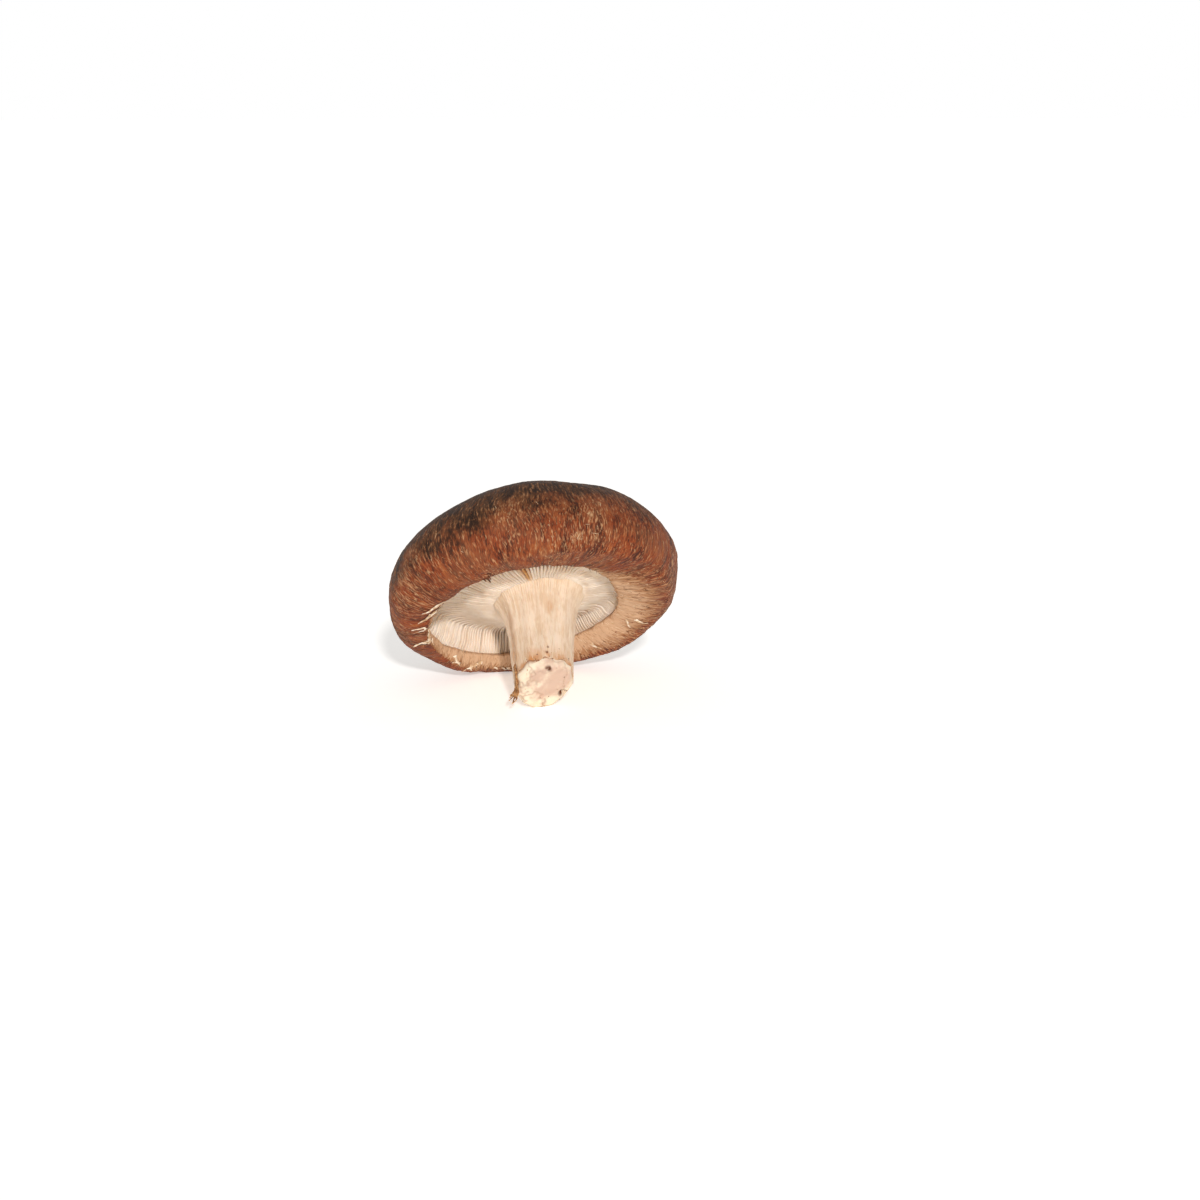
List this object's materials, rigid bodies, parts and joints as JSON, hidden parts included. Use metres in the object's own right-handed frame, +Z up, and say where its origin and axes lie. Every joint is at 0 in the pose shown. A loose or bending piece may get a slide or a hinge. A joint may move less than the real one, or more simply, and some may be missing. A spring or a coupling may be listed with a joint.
{
  "type": "shiitake mushroom",
  "caption": "Whole fresh shiitake lying tilted: domed brown cap with a rolled-in margin, pale gills and a cut stem. It rests on its margin and the foot of its stem.",
  "frame": {"origin": "middle of the bounding box's base, on the surface it lies on", "axes": "+Z is up from the surface. -Y is the side where the cap is tilted up, from which the gills and the cut foot are seen. +X is to the right seen from that side."},
  "size_m": [0.0718, 0.061, 0.0555],
  "materials": {
    "cap_skin": "dry satin skin with fine radial fibres, darker and greyer towards the top",
    "margin_flesh": "matt, fibrous veil remnant on the inner face of the margin",
    "gills": "thin cream plates, matt and slightly translucent",
    "stem_flesh": "matt cream flesh with long tan fibres",
    "cut_foot": "whitish cut flesh, mottled, with specks of growing substrate"
  },
  "bodies": {
    "root": {"shiitake": "cap_skin"}
  },
  "joints": []
}
